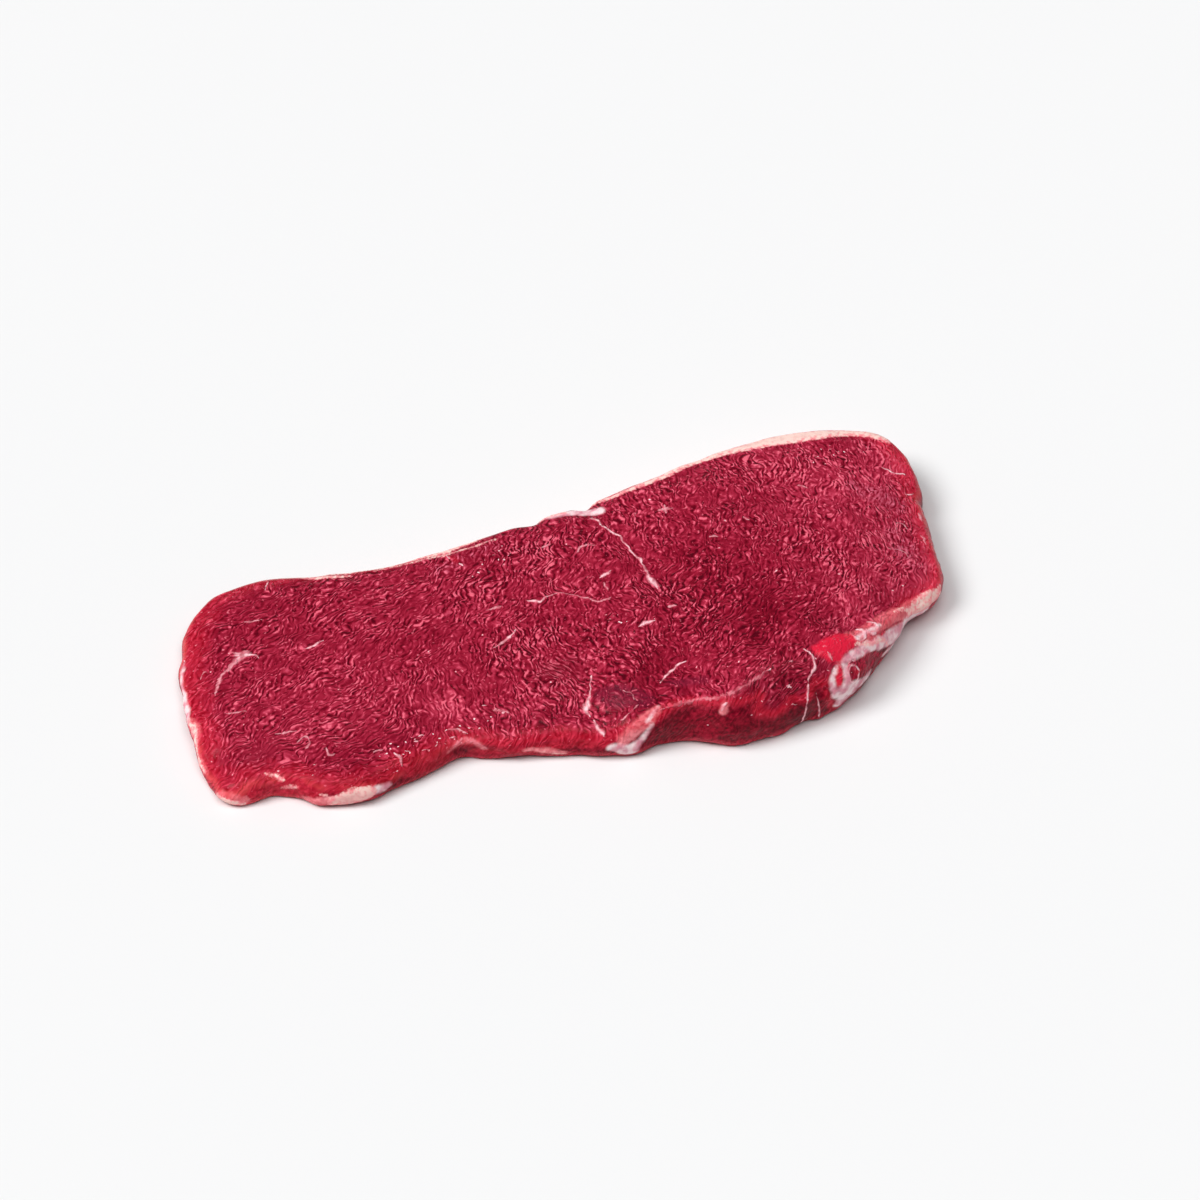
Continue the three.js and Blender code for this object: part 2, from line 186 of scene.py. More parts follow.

# Where the muscle as a whole is paler or deeper. Each row gives x, y, the soft spot's width and
# how much paler it is. The row at (-109, -42) is painted light on the shaded fold at the near left
# corner; the row at (20, -55) lightens and the row at (52, -52) deepens the near side's painted shade.
TONES = [
    (-88, -6, 46, 0.08), (-98, 32, 34, -0.07), (-98, -32, 20, -0.1), (-78, -32, 26, -0.1),
    (-60, -33, 18, -0.06), (-50, 12, 20, -0.05), (-30, 18, 18, 0.06), (-14, -20, 16, 0.06),
    (17, -22, 14, -0.06), (31, -21, 14, -0.1), (14, -31, 14, -0.14), (0, -33, 10, -0.12),
    (6, -40, 9, -0.12), (9.5, -44, 7, -0.2), (52, -52, 10, -0.15), (20, -55, 12, 0.15),
    (30, -20, 12, -0.06), (46, -32, 10, -0.08), (16, -43, 12, -0.12), (45, -16, 16, -0.12),
    (46, 6, 26, -0.14), (36, -6, 16, -0.06), (60, -28, 22, -0.22), (88, 38, 34, 0.1),
    (104, 26, 30, 0.1), (104, -2, 30, 0.1), (104, -19, 22, 0.1), (80, -31, 22, 0.16),
    (45, -34, 14, -0.1), (106, 42, 14, -0.06), (-109, -42, 18, 0.4), (-49.6, -18.4, 9, 0.32),
    (57, -35.6, 7, 0.2), (85, -19.2, 3, 0.3), (80, -25.2, 3, 0.3), (117, 38, 9, 0.22),
    (121, 29, 9, 0.26), (123, 8, 8, 0.16), (122, -3, 8, 0.2), (116, -14, 8, 0.24),
    (113, -24, 7, 0.26),
]

BUSY = [
    # coarse, open bundles
    (TOP, [(-34, 20, 8), (-24, 27, 13), (-10, 32, 15), (4, 34, 13), (14, 34, 8)]),
    (TOP, [(22, 6, 9), (29, -4, 14), (35, -14, 13), (38, -22, 8)]),
    (TOP, [(-24, -20, 8), (-16, -29, 12), (-8, -35, 9)]),
    (TOP, [(-30, -4, 10), (-14, -2, 14), (4, -8, 12), (14, -18, 9)]),
    (TOP, [(74, 6, 6), (82, -8, 8), (85, -18, 6)]),
    (TOP, [(70, 42, 4), (90, 40, 6), (104, 38, 5)]),
]

SPARKLE = [
    # wet, broken light
    (TOP, [(-76, -30, 5), (-62, -30, 7), (-48, -28, 7), (-36, -26, 5)]),
    (NEAR, [(66, 17, 5), (72, 16, 6), (84, 15, 5)]),
    (TOP, [(-24, 30, 5), (-14, 36, 6), (-4, 38, 5)]),
    (TOP, [(20, -12, 4), (10, -6, 6)]),
    (TOP, [(90, 42, 5), (112, 38, 6)]),
]

SHEEN = [
    # painted sheen: a milky sheen of wet light painted on the strands
    (TOP, [(103, 23, 4), (109, 18, 7), (115, 12, 4)]),
    (TOP, [(108, 1, 4), (108.6, -6, 7), (107.4, -13, 4)]),
    (TOP, [(-32, 38, 4), (-24, 41, 6), (-14, 41, 4)]),
]

# Four kinds of thread. Tendons are pale and raised, streaks are fainter, the crest highlights are
# faint painted highlights along the crest and the arch, and glints are painted beads of wet light.
TENDONS = [
    (TOP, [(20.5, 41.5, 1.3), (21.2, 39.5, 1), (22.6, 34.6, 0.9), (25, 30.4, 0.9), (25.6, 26.4, 0.9),
        (26, 20.7, 0.9), (27.2, 17, 1.1), (27.3, 12, 1.3), (27.4, 7.5, 2), (28, 4, 2.8)]),
    (TOP, [(-3.8, -24, 0.8), (-6.1, -29.1, 0.6), (-7.4, -31.4, 1.2), (-8.5, -33.4, 2.2),
        (-10, -35.6, 2.4), (-9.6, -37.6, 1)]),
    (TOP, [(-8.9, -40.4, 1.3), (-8.8, -42.6, 1.5), (-8, -44.6, 1.9)]),
    (TOP, [(84.6, -36.2, 1.1), (86.6, -36.8, 1.5), (86.4, -38.8, 1.6), (83.8, -40.2, 1.6),
        (82.4, -39.2, 1.1)]),
    (TOP, [(79.6, -38.6, 1.1), (81.4, -39.6, 1.5), (80.6, -41.6, 1.7), (78.2, -42.6, 1.5),
        (77.4, -41.2, 1)]),
    (TOP, [(14.6, -36.9, 0.7), (16.2, -35.3, 0.9), (19, -33.8, 1.2), (23, -32.4, 1), (25, -32.2, 0.5)]),
    (TOP, [(-107.4, 21.8, 0.9), (-105.3, 23.2, 2), (-102.6, 24.4, 2.4), (-100.4, 24.2, 1.4),
        (-98.8, 23.6, 0.9), (-98.3, 21.4, 0.7)]),
    (NEAR, [(59.7, 22.6, 0.9), (60.6, 22, 0.9), (61.3, 20, 1.1), (59.4, 18.8, 1), (57.8, 17.4, 1),
        (57, 15.2, 1.1), (56, 12.2, 0.9), (55.4, 8, 1), (55.2, 4.6, 0.9), (54.8, 2.2, 1.1)]),
    (NEAR, [(59.6, 13.4, 0.5), (60, 10.1, 0.7), (60.6, 6, 0.8), (61.1, 3, 0.9)]),
    (TOP, [(16.6, -12.8, 1.3), (18.8, -12.2, 2), (21.2, -12, 1.2)]),
    (TOP, [(-28.2, -1.3, 0.6), (-25, -0.4, 1), (-22.3, 1, 1.4), (-19.4, 2.9, 0.8)]),
    (TOP, [(14, 14.4, 1.8), (16.2, 15.3, 1.5)]),
    (TOP, [(-84, 19.2, 0.7), (-80.7, 20.1, 1.3), (-77.4, 20.8, 0.7)]),
    (TOP, [(-12, 15.2, 0.6), (-10, 13.6, 1), (-8.7, 12.6, 1.6), (-7, 13, 0.8)]),
    (NEAR, [(29.8, 18.4, 0.9), (28.6, 16.6, 1.2)]),
    (TOP, [(-87.4, 49.6, 0.6), (-86.4, 51.7, 0.6), (-85.2, 53.6, 0.6)]),
    (TOP, [(115.6, 29.7, 0.6), (118.5, 27.4, 0.9), (122, 26.4, 1)]),
    (TOP, [(118.6, 17.8, 0.6), (121.8, 18.2, 0.9)]),
    # a painted highlight along the top edge of the arch
    (NEAR, [(-51, 8.8, 0.5), (-48.8, 9.4, 0.7), (-46.8, 9.2, 0.5)]),
    (NEAR, [(73, 16.2, 0.9), (75, 15.2, 0.9), (75.6, 13, 0.9), (74, 11.2, 1), (72, 12.2, 0.8),
        (71.6, 14.6, 0.8), (73, 16.2, 0.9)]),
]

STREAKS = [(TOP, row) for row in (
    [(-115.5, 12.2, 0.9), (-113.8, 15.4, 1.6), (-111.6, 18.6, 1.6), (-108.9, 20.8, 1.9),
     (-106.6, 22.4, 1.6)],
    [(-106, 27.4, 0.9), (-103.6, 25.8, 1.8), (-101, 26, 1.2)],
    [(-7, 13, 0.9), (-3, 14.4, 0.8), (0, 13.8, 0.8), (5.6, 8, 0.8), (8.5, 4.9, 0.9), (11.5, 4.2, 1.1),
     (12.8, 4.8, 0.7)],
    [(-1.4, -44, 0.6), (1.7, -43.1, 0.6), (4.7, -42, 0.5)],
    [(2.1, -34.6, 0.5), (4.6, -36.9, 0.6), (4.7, -39.3, 0.5)],
    [(13.4, 10.8, 1.2), (13.8, 8.8, 1.1)],
    [(10, 28.6, 0.8), (12.8, 30.4, 1.2), (16.4, 29.4, 0.8)],
    [(1, 35.4, 0.8), (3.4, 35.8, 0.9)],
    [(-24.8, 15.3, 1.1), (-21.2, 15.3, 1.3)],
    [(41, 35.6, 0.9), (43, 35, 1.5), (45, 34.4, 0.8)],
    [(42.4, 33.4, 0.7), (43.2, 36.6, 0.7)],
    [(-98, 38.5, 0.8), (-95.3, 37.5, 0.9), (-92.3, 36.4, 0.5)],
    [(-115.5, 3.1, 0.7), (-112.5, 1.9, 0.8), (-109.5, 1.1, 0.7)],
    [(-103.3, -11.2, 0.5), (-100.4, -12.3, 0.8), (-97.6, -12.9, 0.7)],
    [(-98, -16.9, 0.7), (-96.5, -15.5, 0.8), (-94.7, -16.2, 0.7), (-94.7, -18.2, 0.8),
     (-96.3, -19.9, 0.9)],
    [(-90.4, -22.6, 0.7), (-90.8, -25, 0.9), (-89, -25.4, 0.6)],
    [(-117.6, 21.4, 0.7), (-116.3, 23.6, 0.6), (-115.1, 22.6, 0.5)],
    [(-36.4, -25.2, 0.8), (-33.2, -27.8, 0.8)],
    [(-52, -27.4, 0.7), (-49.4, -28.4, 0.8), (-47.8, -30.4, 0.6)],
    [(86, 28.4, 0.8), (88.4, 26.2, 0.7)],
    [(63.4, 19.6, 0.8), (65, 17.8, 0.8)],
    [(50.8, 15.6, 1), (52.4, 15, 0.8)],
    [(109.4, 2.6, 0.7), (110.8, 4.8, 0.7), (112.8, 4.4, 0.7), (113.4, 2.4, 0.6)],
    [(103.6, -5.9, 0.7), (105.9, -6.6, 0.6), (107.9, -7.6, 0.7), (108.6, -10.4, 0.6)],
    [(28.4, -8, 1.2), (29.8, -8.2, 1)],
    [(120.2, 9, 1), (120, 6.6, 1.2)],
    [(117, -1, 0.9), (117.4, -4, 1)],
)]

CREST_HIGHLIGHTS = [
    # painted highlights along the crest of the near side and along the top edge of the arch
    (TOP, [(10.4, -47.2, 1), (15.5, -47.9, 1.3), (22.9, -49.4, 1.7), (28.6, -51.6, 1.7),
        (34, -51.2, 1.5), (40, -50, 1.1), (45, -48.4, 0.8)]),
    (NEAR, [(-54, 6.4, 0.9), (-52.4, 8, 1.2), (-49.6, 9.2, 1.4), (-46.8, 9, 1.4), (-44.4, 7.8, 1.2),
        (-42.6, 5.6, 0.9)]),
]

GLINTS = [(TOP, row) for row in (
    [(-71.1, -31.6, 0.8), (-70.1, -33.5, 1.3), (-70.4, -35.4, 0.7)],
    [(-77.4, -28.6, 0.9), (-75.2, -28.4, 1.3)],
    [(-64, -28.7, 0.8), (-63, -28.4, 0.9)],
    [(-61.6, -27.2, 0.7), (-60.6, -26.8, 0.9)],
    [(-68, -31.4, 0.5), (-66.8, -31.6, 0.5)],
    [(-62.6, -32.4, 0.5), (-61.4, -32.6, 0.5)],
    [(-53, -30.2, 0.5), (-51.6, -30.6, 0.7)],
    [(-39.4, -22.4, 0.8), (-38.8, -22.8, 0.8)],
    [(-36.2, -24.8, 0.6), (-35.2, -25.6, 0.7)],
    [(-34.6, -27.4, 0.6), (-34, -28, 0.6)],
    [(66.3, -47, 1.6), (66.8, -47.6, 2.2)],
    [(-28.4, 43.8, 0.6), (-27.8, 42.4, 0.7)],
    [(-25.8, 38.4, 0.7), (-25.4, 37.2, 0.8)],
)]

# Small round glints. Each gives the side, two coordinates and the width.
SPOTS = [
    (NEAR, 51.1, 17.8, 0.7), (NEAR, 51.6, 16.4, 0.5), (NEAR, 53.5, 16, 0.5),
    (NEAR, 51.5, 14.9, 0.4), (NEAR, 50.7, 13.1, 0.5), (NEAR, 52.2, 12.4, 0.6),
    (NEAR, 54.4, 14.2, 0.5), (NEAR, 34.5, 19, 0.6), (NEAR, 37.2, 13.3, 0.8),
    (TOP, 46.4, -48.2, 0.8), (TOP, 53.6, -46.8, 0.9), (TOP, -96.3, -27.7, 0.6),
    (TOP, -98, -31.2, 0.5), (TOP, -72.4, -36.3, 0.6),
]
SPOT_LENGTH = 0.3

# How white each kind of thread is.
CREST_HIGHLIGHT_WHITE, STREAK_WHITE, TENDON_WHITE, GLINT_WHITE = 0.28, 0.5, 0.9, 1.0

# The marks that cover an area, by the name of the attribute that they give.
AREAS = {
    "fat": FAT, "membrane": MEMBRANE, "wet": WET, "dark": DARK, "window": WINDOW, "pink": PINK,
    "red": RED, "shade": SHADE, "busy": BUSY, "sheen": SHEEN, "sparkle": SPARKLE,
}

# The way that a mark is laid on its side, and which coordinates its points give.
APPROACH = {
    TOP: (Vector((0, 0, -1)), (0, 1)),
    NEAR: (Vector((0, 1, 0)), (0, 2)),
    FAR: (Vector((0, -1, 0)), (0, 2)),
    LEFT: (Vector((1, 0, 0)), (1, 2)),
}
CLEAR_OF_STEAK = 300  # a mark is thrown onto the steak from this far off
MISSED_DEPTH = 10  # a point that misses goes where the steak is nearest to this far out
AREA_SPACING = 0.8  # between the points that stand for an area's line
LINE_SPACING = 0.25  # between the points that stand for a thread
FIELD_REACH = 8  # further than this from an area's line, its field says no more
LINE_REACH = 2.2  # the same for a thread
OFF_THREADS = 9.0  # half widths to the nearest thread, where none is in reach
LINE_SWELL = 0.5  # how unevenly wide a thread is
LINE_STRAY = 0.6  # how far a thread strays from its smooth line
SWELL_LENGTH, STRAY_LENGTH = 1.6, 2.0  # from one swell or bend of a thread to the next
SWELL_SEED, STRAY_SEEDS = 21, (22, 23, 24)


# ---- The lie of the fibres ----

# The angle of the fibres from the steak's length, in degrees. Each row gives x, the angle along
# the near half and the angle along the far half.
FIBRE_LIE = [
    (-118, 52, 40), (-98, 8, 34), (-78, 2, 40), (-62, 70, 22), (-45, 82, 28), (-28, 96, 48),
    (-10, 106, 54), (8, 96, 62), (25, 76, 84), (40, 40, 86), (58, 34, 78), (75, 54, 76), (96, 66, 80),
    (116, 52, 84),
]
NEAR_HALF, FAR_HALF = -26, 28  # y of the rows' two halves
RIPPLE_WIDTH = 1.6  # from one fine ripple of the cut fibres to the next
RIPPLE_WANDER = 5.0  # how far the ripples stray from straight, in radians of their turn
RIPPLE_LEAN = 0.6  # how much the ripples follow the steak's depth
BUNDLE_SIZE = 9.0
BUNDLE_TURN = 0.7  # how much the bundles' angles differ, in radians

# The size of each pattern's bumps, along and across the fibres.
WANDER_SIZE, LENGTH_SIZE, FOLD_SIZE, BEAD_SIZE = (3.4, 2.2), (2.4, 1.4), (2.6, 1.0), (1.5, 0.7)

# How wide the smooth red skin along the rim is. Each row gives x, the width on the near half and
# the width on the far half. Between the two widths of THIN_RIM, light starts to shine through.
THIN_RIM = (3.0, 7.5)
RED_RIM = [
    (-130, 7, 8), (-112, 6, 8), (-95, 5, 6.5), (-78, 5, 4), (-60, 4.5, 2.5), (-30, 3, 1.5),
    (10, 2, 1.5), (50, 1.5, 1), (90, 2, 1), (110, 4, 3.5), (120, 6, 6.5),
]


# ---- Relief ----

MERGE_DISTANCE = 1e-6
JOIN_ANGLE = math.radians(60)
JOIN_SHAPE = math.radians(80)
WALL_SLOPE = 0.55  # a surface whose normal is flatter than this is a side
FOOT_HEIGHT = 0.35  # below this the underside stays flat, to rest on

SWELL_HEIGHT = 0.2
CRACK_DEPTH = 0.25
THREAD_HEIGHT, THREAD_FADE = 0.22, 1.5  # the fade is in half widths
SILVERSKIN_HEIGHT, WRINKLE_HEIGHT = 0.1, 0.1

# How far each tissue stands up, and how deep inside its marks the rise starts and ends.
TISSUE_HEIGHTS = {
    "fat": (0.3, -0.6, 1.6), "pink": (0.15, -0.5, 1.5), "window": (-0.4, -0.4, 0.8),
    "wet": (0.15, -0.5, 1.5),
}


# ---- Numbers over the surface ----

SEED_STEP = 17.3  # how far apart in the noise two seeds are
SPOT_FADE = 0.6  # where a soft spot has faded to about a third, as a share of its width


def smooth_step(low, high, values):
    """0 up to low and 1 from high on, with a smooth rise between."""
    share = np.clip((values - low) / (high - low), 0.0, 1.0)
    return share * share * (3 - 2 * share)


def noise_at(points, size, seed, stretch=(1, 1, 1)):
    """Smooth noise from -1 to 1 whose bumps are about size across."""
    scaled = points / (np.array(stretch) * size) + seed * SEED_STEP
    return np.array([noise.noise(Vector(point)) for point in scaled])


def ridged_noise_at(points, size, seed, stretch=(1, 1, 1)):
    """1 along thin winding lines, and less between them."""
    return 1 - np.minimum(1, np.abs(noise_at(points, size, seed, stretch)) * 4)


def smooth_line(points, spacing):
    """Points close together on a smooth curve through the given ones."""
    points = np.array(points, float)
    padded = np.vstack([2 * points[0] - points[1], points, 2 * points[-1] - points[-2]])
    made = []
    for start in range(len(points) - 1):
        before, here, there, after = padded[start:start + 4]
        count = max(1, math.ceil(np.linalg.norm((there - here)[:2]) / spacing))
        for step in range(count):
            t = step / count
            made.append(0.5 * (2 * here + (there - before) * t
                               + (2 * before - 5 * here + 4 * there - after) * t ** 2
                               + (3 * here - before - 3 * there + after) * t ** 3))
    made.append(points[-1])
    return np.array(made)


class Skin:
    """The steak's fine surface as arrays, in millimetres."""

    def __init__(self, mesh):
        count = len(mesh.vertices)
        places = np.empty(count * 3)
        normals = np.empty(count * 3)
        mesh.vertices.foreach_get("co", places)
        mesh.vertex_normals.foreach_get("vector", normals)
        self.points = places.reshape(-1, 3) / MM
        self.normals = normals.reshape(-1, 3)
        faces = [tuple(face.vertices) for face in mesh.polygons]
        self.tree = BVHTree.FromPolygons([Vector(point) for point in self.points], faces)

    def across_halves(self, rows):
        """A value given for places along the near and the far half, at each point."""
        rows = np.array(rows, float)
        x, y = self.points[:, 0], self.points[:, 1]
        share = smooth_step(NEAR_HALF, FAR_HALF, y)
        near = np.interp(x, rows[:, 0], rows[:, 1])
        far = np.interp(x, rows[:, 0], rows[:, 2])
        return near * (1 - share) + far * share

    def soft_spots(self, rows):
        """The sum of round spots that fade outward, at each point."""
        total = np.zeros(len(self.points))
        for x, y, width, change in rows:
            gaps = np.hypot(self.points[:, 0] - x, self.points[:, 1] - y)
            total += change * np.exp(-((gaps / (SPOT_FADE * width)) ** 2))
        return total

    def lay(self, side, points, spacing):
        """Drops a mark's line onto the steak. Gives places and half widths."""
        direction, axes = APPROACH[side]
        line = smooth_line(points, spacing)
        places = []
        for first, second, _ in line:
            start = -CLEAR_OF_STEAK * direction
            start[axes[0]] = first
            start[axes[1]] = second
            place = self.tree.ray_cast(start, direction)[0]
            if place is None:
                start += direction * (CLEAR_OF_STEAK - MISSED_DEPTH)
                place = self.tree.find_nearest(start)[0]
            places.append(place)
        return np.array(places), line[:, 2] / 2

    def near(self, places, reach):
        """The points in a box round places, as their numbers."""
        low = places.min(0) - reach
        high = places.max(0) + reach
        return np.flatnonzero(((self.points > low) & (self.points < high)).all(1))

    def area_field(self, marks):
        """How deep inside the marks each point is, below 0 outside them."""
        field = np.full(len(self.points), -float(FIELD_REACH))
        for side, points in marks:
            places, halves = self.lay(side, points, AREA_SPACING)
            chosen = self.near(places, FIELD_REACH)
            gaps = np.linalg.norm(self.points[chosen, None] - places[None], axis=2)
            field[chosen] = np.maximum(field[chosen], (halves - gaps).max(1))
        return field

    def line_field(self, groups):
        """For threads: the side-signed and plain distance in half widths, and brightness."""
        field = np.tile([OFF_THREADS, OFF_THREADS, 0.0], (len(self.points), 1))
        for brightness, marks in groups:
            for side, points in marks:
                places, halves = self.lay(side, points, LINE_SPACING)
                halves = halves * (1 + LINE_SWELL * noise_at(places, SWELL_LENGTH, SWELL_SEED))
                places = places + LINE_STRAY * np.stack(
                    [noise_at(places, STRAY_LENGTH, seed) for seed in STRAY_SEEDS], axis=1
                )
                chosen = self.near(places, LINE_REACH)
                offsets = self.points[chosen, None] - places[None]
                gaps = np.linalg.norm(offsets, axis=2)
                nearest = gaps.argmin(1)
                rows = np.arange(len(chosen))
                gap = gaps[rows, nearest] / halves[nearest]
                tangents = np.gradient(places, axis=0)[nearest]
                turn = np.cross(tangents, offsets[rows, nearest])
                side_of = np.sign((turn * self.normals[chosen]).sum(1))
                better = (gap < field[chosen, 1]) & (gaps[rows, nearest] < LINE_REACH)
                kept = chosen[better]
                field[kept, 0] = (gap * side_of)[better]
                field[kept, 1] = gap[better]
                field[kept, 2] = brightness
        return field

    def rim_field(self):
        """Distance from the rim: above 0 on the two cut faces, below 0 on the sides."""
        is_side = np.abs(self.normals[:, 2]) < WALL_SLOPE
        field = np.zeros(len(self.points))
        for these, others, sign in ((~is_side, is_side, 1), (is_side, ~is_side, -1)):
            places = self.points[others]
            tree = KDTree(len(places))
            for index, place in enumerate(places):
                tree.insert(place, index)
            tree.balance()
            for index in np.flatnonzero(these):
                field[index] = sign * tree.find(self.points[index])[2]
        return field


# ---- The steak ----


def add_object(name, data):
    made = bpy.data.objects.new(name, data)
    bpy.context.scene.collection.objects.link(made)
    return made


def finer_copy(node, name, levels):
    """A smooth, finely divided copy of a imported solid."""
    shape = bmesh.new()
    shape.from_mesh(node.data)
    bmesh.ops.remove_doubles(shape, verts=shape.verts, dist=MERGE_DISTANCE)
    bmesh.ops.join_triangles(
        shape, faces=shape.faces, angle_face_threshold=JOIN_ANGLE, angle_shape_threshold=JOIN_SHAPE
    )
    mesh = bpy.data.meshes.new(name)
    shape.to_mesh(mesh)
    shape.free()
    piece = add_object(name, mesh)
    modifier = piece.modifiers.new("finer", "SUBSURF")
    modifier.levels = levels
    modifier.render_levels = levels
    finished = piece.evaluated_get(bpy.context.evaluated_depsgraph_get())
    piece.data = bpy.data.meshes.new_from_object(finished)
    piece.modifiers.clear()
    bpy.data.meshes.remove(mesh)
    piece.data.name = name
    return piece


def store(mesh, name, values):
    """Keeps numbers or vectors on the mesh, for the material."""
    kind, key = ("FLOAT_VECTOR", "vector") if values.ndim == 2 else ("FLOAT", "value")
    attribute = mesh.attributes.new(name, kind, "POINT")
    attribute.data.foreach_set(key, values.astype(np.float32).ravel())


def relief(skin, fields, rim, look):
    """How far each point of the skin moves along its normal."""
    points = skin.points
    face = smooth_step(-1.0, 2.5, rim)
    muscle = 1 - smooth_step(-1.0, 0.5, np.maximum(fields["fat"], fields["membrane"]))
    busy = smooth_step(-5, 3, fields["busy"])
    bundles = noise_at(points, 2.4, 11) + 0.5 * noise_at(points, 1.4, 12)
    swells = noise_at(points, 9, 13)
    cracks = ridged_noise_at(points, 6, 14) * smooth_step(0, 0.5, noise_at(points, 14, 15))
    lumps = noise_at(points, 6, 16) + 0.5 * noise_at(points, 3, 17)
    height = look.bundle_height / MM * muscle * face * (1 + busy) * bundles
    height += look.side_height / MM * (1 - face) * (0.4 + 0.6 * smooth_step(0, -4, rim)) * lumps
    height += SWELL_HEIGHT * face * muscle * swells
    height -= CRACK_DEPTH * face * muscle * smooth_step(0.55, 1.0, cracks)
    for name, (rise, low, high) in TISSUE_HEIGHTS.items():
        height += rise * smooth_step(low, high, fields[name])
    wrinkles = ridged_noise_at(points, 4, 18, (1.5, 1.5, 0.8)) - 0.4
    silverskin = SILVERSKIN_HEIGHT + WRINKLE_HEIGHT * wrinkles
    height += silverskin * smooth_step(-0.3, 1.0, fields["membrane"])
    gap, white = fields["threads"][:, 1], fields["threads"][:, 2]
    height += THREAD_HEIGHT * white * np.exp(-((gap / THREAD_FADE) ** 2))
    return height


def length(name, description, default):
    """A length that a user may change, in metres."""
    return FloatProperty(name=name, description=description, default=default, unit="LENGTH")


class SteakLook(bpy.types.PropertyGroup):
    """What a user may change of the steak."""

    levels: IntProperty(
        name="Fineness", description="How often the solid is divided", default=2, min=1, max=2
    )
    bundle_height: length("Bundle height", "Relief of the fibre bundles", 0.00008)
    side_height: length("Side height", "Unevenness of the steak's sides", 0.0006)


def linear(red, green, blue):
    """A colour given as it looks on a screen, 0 to 255, as the light that it sends."""
    return tuple(
        part / 255 / 12.92 if part <= 10 else ((part / 255 + 0.055) / 1.055) ** 2.4
        for part in (red, green, blue)
    ) + (1.0,)


def tint(name, description, colour):
    """A colour that a user may change."""
    return FloatVectorProperty(
        name=name, description=description, default=linear(*colour), size=4, subtype="COLOR",
        min=0, max=1,
    )


class MeatColours(bpy.types.PropertyGroup):
    """The colours of the steak's tissues."""

    # The muscle's reds: the darkest stand partly for painted shade, the palest for painted highlights.
    gap: tint("Gaps", "The darkest gaps between fibre bundles", (84, 2, 20))
    shade: tint("Shade", "Muscle beside a gap", (110, 6, 27))
    deep: tint("Deep muscle", "Muscle in the dips", (135, 16, 41))
    muscle: tint("Muscle", "The cut muscle", (155, 29, 54))
    strand: tint("Strands", "Fibre ends that catch light", (179, 47, 73))
    pale: tint("Pale strands", "Paler fibre ends", (204, 70, 96))
    bright: tint("Bright strands", "The palest fibre ends", (236, 104, 126))
    rim: tint("Rim", "The smooth red skin at the edges", (160, 6, 30))
    rim_pale: tint("Pale rim", "Paler strands in the skin at the edges", (226, 54, 78))
    edge: tint("Edge", "The thin edge that light shines through", (228, 82, 84))
    # painted shade: the sides' colours are darker copies of the muscle's, for their lesser light
    side: tint("Sides", "Muscle on the steak's sides", (54, 0, 14))
    shaded_side_pale: tint("Pale sides", "Paler strands on the steak's sides", (152, 0, 34))
    blood: tint("Blood", "Wet pockets", (238, 34, 66))
    # painted shade: the colour painted into the hollows, and into the window's gap, hole and crack
    shadow: tint("Shadow", "The deepest muscle", (96, 3, 22))
    window: tint("Window", "Meat behind a gap in the silverskin", (206, 40, 72))
    purple: tint("Purple", "The dark muscle", (118, 26, 52))
    painted_sheen: tint("Bloom", "Milky wet sheen on the strands", (232, 130, 158))
    pink: tint("Pink", "Pale tissue between muscle and fat", (240, 104, 114))
    fat: tint("Fat", "The fat", (252, 214, 204))
    pink_fat: tint("Pink fat", "Fat stained by the meat beside it", (255, 146, 154))
    silver: tint("Silverskin", "The membranes", (250, 170, 188))
    # also the colour of the painted white specks of wet light
    white: tint("White", "The palest fat and silverskin", (255, 226, 228))
    thread: tint("Threads", "Tendons in the muscle", (255, 208, 214))


# ---- Shader sockets that do arithmetic ----


class Value:
    """A number or vector that a material works out. Arithmetic on it adds Math nodes."""

    def __init__(self, shader, socket):
        self.shader = shader
        self.socket = socket

    def math(self, operation, *others):
        sockets = dict(enumerate((self, *others)))
        return self.shader.node("ShaderNodeMath", {"operation": operation}, sockets)

    def __add__(self, other):
        return self.math("ADD", other)

    def __sub__(self, other):
        return self.math("SUBTRACT", other)

    def __mul__(self, other):
        return self.math("MULTIPLY", other)

    def __truediv__(self, other):
        return self.math("DIVIDE", other)

    def __rsub__(self, other):
        return (self * -1.0) + other

    def __abs__(self):
        return self.math("ABSOLUTE")

    __radd__ = __add__
    __rmul__ = __mul__

    def at_least(self, other):
        return self.math("MAXIMUM", other)

    def at_most(self, other):
        return self.math("MINIMUM", other)

    def rise(self, low, high):
        """0 up to low and 1 from high on, with a smooth rise between."""
        settings = {"interpolation_type": "SMOOTHSTEP"}
        return self.shader.node(
            "ShaderNodeMapRange", settings, {"Value": self, "From Min": low, "From Max": high}
        )


